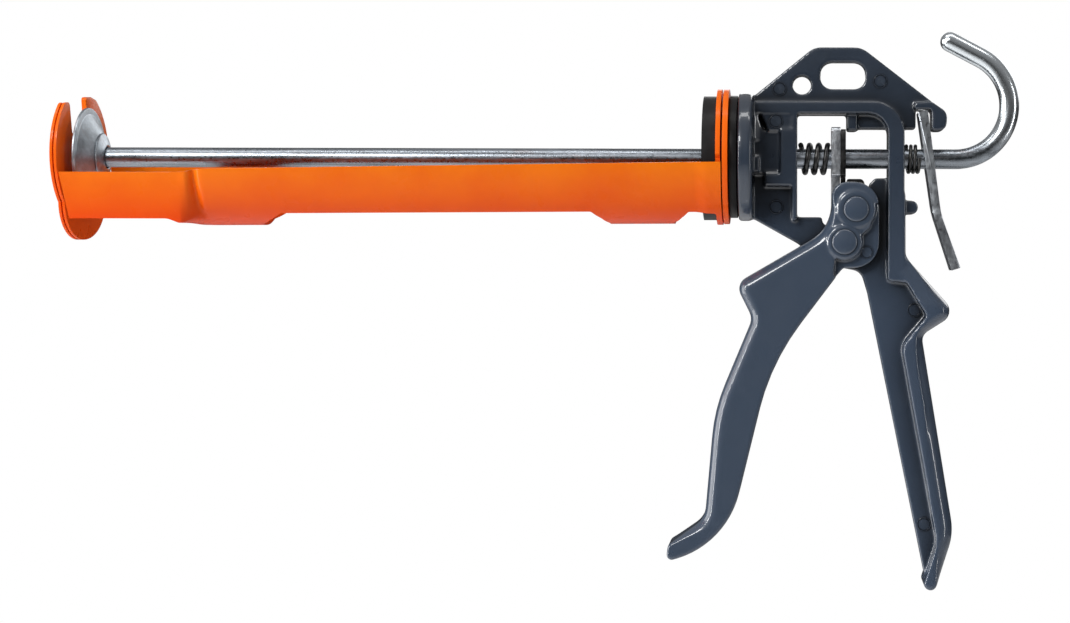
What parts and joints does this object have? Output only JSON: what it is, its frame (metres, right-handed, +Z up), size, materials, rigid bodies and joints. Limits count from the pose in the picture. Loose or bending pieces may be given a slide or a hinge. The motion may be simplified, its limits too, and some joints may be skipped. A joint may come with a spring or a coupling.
{
  "type": "caulking gun",
  "caption": "Skeleton caulking gun with a swivelling open cradle, a hooked push rod, a squeeze trigger, jamming drive plates and a thumb release lever.",
  "frame": {"origin": "middle of the fixed handle's grip, in the gun's middle plane", "axes": "+X along the push rod from the nose to the pull hook, +Z up, and Y across the gun"},
  "size_m": [0.3799, 0.0551, 0.2237],
  "materials": {
    "painted_casting": "gloss slate blue-grey paint on a die casting",
    "painted_trigger": "gloss slate blue-grey paint on a die casting",
    "orange_paint": "gloss orange paint on pressed sheet steel",
    "zinc_plate": "bright zinc plate",
    "dark_steel": "dark oiled steel",
    "black_plastic": "black moulded plastic"
  },
  "bodies": {
    "frame": {"frame_casting": "painted_casting", "collar_drum": "black_plastic", "rear_thrust_washer": "black_plastic", "collar_screw_1": "zinc_plate", "collar_screw_2": "zinc_plate", "collar_screw_3": "zinc_plate", "trigger_pivot_rivet": "painted_casting", "drive_spring": "dark_steel", "release_spring": "dark_steel"},
    "cradle": {"cradle_trough": "orange_paint", "nose_plate_inner": "orange_paint", "nose_plate_outer": "orange_paint", "rear_plate_front": "orange_paint", "rear_plate_back": "orange_paint"},
    "plunger": {"plunger_dish": "zinc_plate", "plunger_hub": "zinc_plate", "plunger_rivet": "zinc_plate"},
    "rod": {"push_rod": "zinc_plate"},
    "trigger": {"trigger_casting": "painted_trigger", "thrust_rivet": "painted_trigger"},
    "thrust_shoe": {"thrust_block": "black_plastic"},
    "drive_plates": {"drive_plate_front": "zinc_plate", "drive_plate_rear": "dark_steel"},
    "release": {"release_lever": "zinc_plate"}
  },
  "joints": [
    {"name": "cradle_spin", "type": "hinge", "parent": "frame", "child": "cradle", "pos_m": [-0.198, 0, 0.0957], "axis": [1, 0, 0], "continuous": true},
    {"name": "rod_slide", "type": "slide", "parent": "frame", "child": "plunger", "axis": [1, 0, 0], "range_m": [0, 0.235]},
    {"name": "rod_spin", "type": "hinge", "parent": "plunger", "child": "rod", "pos_m": [-0.068, 0, 0.095], "axis": [1, 0, 0], "range_deg": [-150, 150]},
    {"name": "trigger_squeeze", "type": "hinge", "parent": "frame", "child": "trigger", "pos_m": [-0.0245, 0, 0.0614], "axis": [0, -1, 0], "range_deg": [0, 30], "stiffness_Nm_per_rad": 0.8, "springref_deg": -22.92},
    {"name": "thrust_shoe_tilt", "type": "hinge", "parent": "trigger", "child": "thrust_shoe", "pos_m": [-0.0199, 0, 0.0745], "axis": [0, -1, 0], "range_deg": [-30, 0]},
    {"name": "drive_plate_slide", "type": "slide", "parent": "frame", "child": "drive_plates", "axis": [-1, 0, 0], "range_m": [0, 0.0075], "deforming": ["drive_spring"]},
    {"name": "release_press", "type": "hinge", "parent": "frame", "child": "release", "pos_m": [0.0074, 0, 0.113], "axis": [0, 1, 0], "range_deg": [0, 6.5], "stiffness_Nm_per_rad": 1, "springref_deg": -5.73, "deforming": ["release_spring"]}
  ],
  "couplings": [
    {"joint": "thrust_shoe_tilt", "follows": "trigger_squeeze", "ratio": -1},
    {"joint": "drive_plate_slide", "follows": "trigger_squeeze", "m_per_rad": 0.0137}
  ]
}
